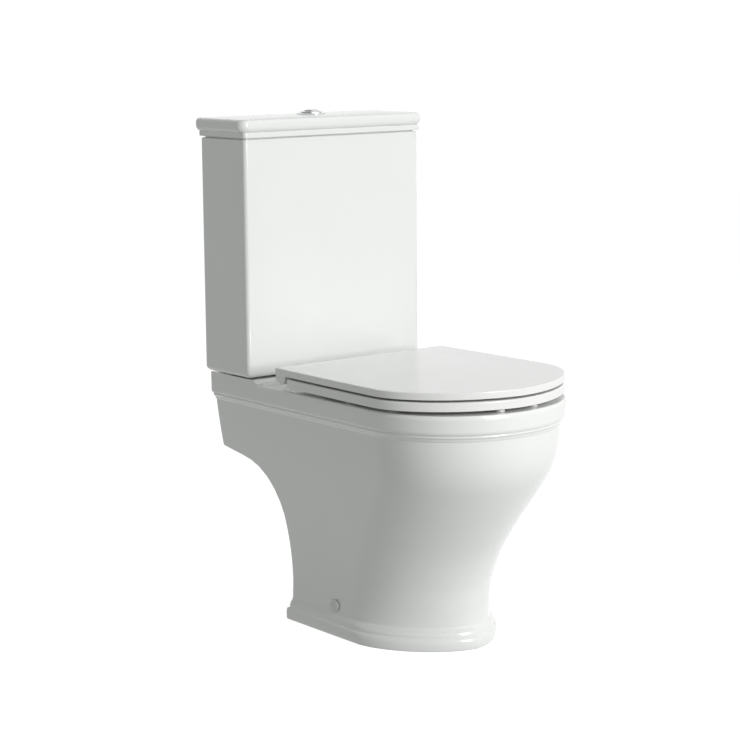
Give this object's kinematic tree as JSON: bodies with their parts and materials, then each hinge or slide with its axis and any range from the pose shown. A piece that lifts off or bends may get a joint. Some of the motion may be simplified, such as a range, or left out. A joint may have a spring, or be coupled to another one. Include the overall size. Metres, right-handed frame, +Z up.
{
  "type": "close coupled toilet",
  "caption": "Floor standing close coupled toilet with stepped foot, open back pan, rectangular cistern, lift-off cistern lid, dual flush button and hinged seat and lid.",
  "frame": {"origin": "on the floor, under the middle of the bounding box", "axes": "+Z up, the front of the bowl towards -Y, the wall side towards +Y, +X to the right when facing the toilet"},
  "size_m": [0.384, 0.605, 0.8485],
  "materials": {
    "china": "gloss",
    "seat_plastic": "gloss",
    "chrome": "polished",
    "white_plastic": "satin",
    "blue_plastic": "satin",
    "black_rubber": "matte",
    "pale_rubber": "matte",
    "steel": "satin"
  },
  "bodies": {
    "root": {"pan": "china", "floor_brackets": "steel", "side_screws": "steel", "side_caps": "white_plastic", "cistern": "china", "coupling_seal": "black_rubber", "cistern_bolts": "steel", "bolt_seal_washers": "black_rubber", "shelf_rubber_washers": "black_rubber", "shelf_steel_washers": "steel", "wing_nuts": "steel", "hinge_posts": "chrome", "hinge_pins": "steel", "hinge_studs": "steel", "hinge_washers": "black_rubber", "hinge_nuts": "white_plastic", "flush_valve_body": "white_plastic", "flush_valve_gasket": "black_rubber", "flush_valve_backnut": "white_plastic", "rocker_pin": "steel", "fill_valve_body": "white_plastic", "fill_valve_washer": "black_rubber", "fill_valve_backnut": "white_plastic", "lever_pin": "steel"},
    "seat_ring_body": {"seat_ring": "seat_plastic", "ring_buffers": "pale_rubber"},
    "seat_lid_body": {"seat_lid": "seat_plastic", "lid_buffers": "pale_rubber"},
    "cistern_lid_body": {"cistern_lid": "china", "button_bezel": "chrome", "bezel_locknut": "white_plastic", "full_button_spring": "steel", "half_button_spring": "steel"},
    "full_button_body": {"full_button": "chrome", "full_button_rod": "white_plastic"},
    "half_button_body": {"half_button": "chrome", "half_button_rod": "white_plastic"},
    "full_rocker_body": {"full_rocker": "blue_plastic"},
    "half_rocker_body": {"half_rocker": "blue_plastic"},
    "flush_stem_body": {"flush_stem": "white_plastic", "flush_seal": "black_rubber"},
    "half_trip_body": {"half_flush_trip": "blue_plastic"},
    "float_body": {"fill_float": "white_plastic"},
    "lever_body": {"float_lever": "blue_plastic"}
  },
  "joints": [
    {"name": "seat_ring_hinge", "type": "hinge", "parent": "root", "child": "seat_ring_body", "pos_m": [0, 0.096, 0.4265], "axis": [1, 0, 0], "range_deg": [-98, 0]},
    {"name": "seat_lid_hinge", "type": "hinge", "parent": "seat_ring_body", "child": "seat_lid_body", "pos_m": [0, 0.096, 0.4265], "axis": [-1, 0, 0], "range_deg": [0, 98]},
    {"name": "cistern_lid_lift", "type": "slide", "parent": "root", "child": "cistern_lid_body", "axis": [0, 0, 1], "range_m": [0, 0.15]},
    {"name": "full_flush_press", "type": "slide", "parent": "cistern_lid_body", "child": "full_button_body", "axis": [0, 0, -1], "range_m": [0, 0.006], "stiffness_N_per_m": 300, "springref_m": -0.004, "deforming": ["full_button_spring"]},
    {"name": "half_flush_press", "type": "slide", "parent": "cistern_lid_body", "child": "half_button_body", "axis": [0, 0, -1], "range_m": [0, 0.006], "stiffness_N_per_m": 300, "springref_m": -0.004, "deforming": ["half_button_spring"]},
    {"name": "full_rocker_turn", "type": "hinge", "parent": "root", "child": "full_rocker_body", "pos_m": [-0.022, 0.239, 0.765], "axis": [0, 1, 0], "range_deg": [0, 26.1]},
    {"name": "half_rocker_turn", "type": "hinge", "parent": "root", "child": "half_rocker_body", "pos_m": [0.022, 0.239, 0.765], "axis": [0, -1, 0], "range_deg": [0, 26.1]},
    {"name": "flush_stem_lift", "type": "slide", "parent": "root", "child": "flush_stem_body", "axis": [0, 0, 1], "range_m": [0, 0.0121]},
    {"name": "half_trip_lift", "type": "slide", "parent": "root", "child": "half_trip_body", "axis": [0, 0, 1], "range_m": [0, 0.0121]},
    {"name": "float_drop", "type": "slide", "parent": "root", "child": "float_body", "axis": [0, 0, -1], "range_m": [0, 0.012], "stiffness_N_per_m": 60, "springref_m": -0.02},
    {"name": "float_lever_turn", "type": "hinge", "parent": "root", "child": "lever_body", "pos_m": [0.135, 0.217, 0.712], "axis": [0, -1, 0], "range_deg": [0, 19.6]}
  ],
  "couplings": [
    {"joint": "full_rocker_turn", "follows": "full_flush_press", "rad_per_m": 75.6},
    {"joint": "flush_stem_lift", "follows": "full_flush_press", "ratio": 2},
    {"joint": "half_rocker_turn", "follows": "half_flush_press", "rad_per_m": 75.6},
    {"joint": "half_trip_lift", "follows": "half_flush_press", "ratio": 2},
    {"joint": "float_lever_turn", "follows": "float_drop", "rad_per_m": 28.36}
  ]
}
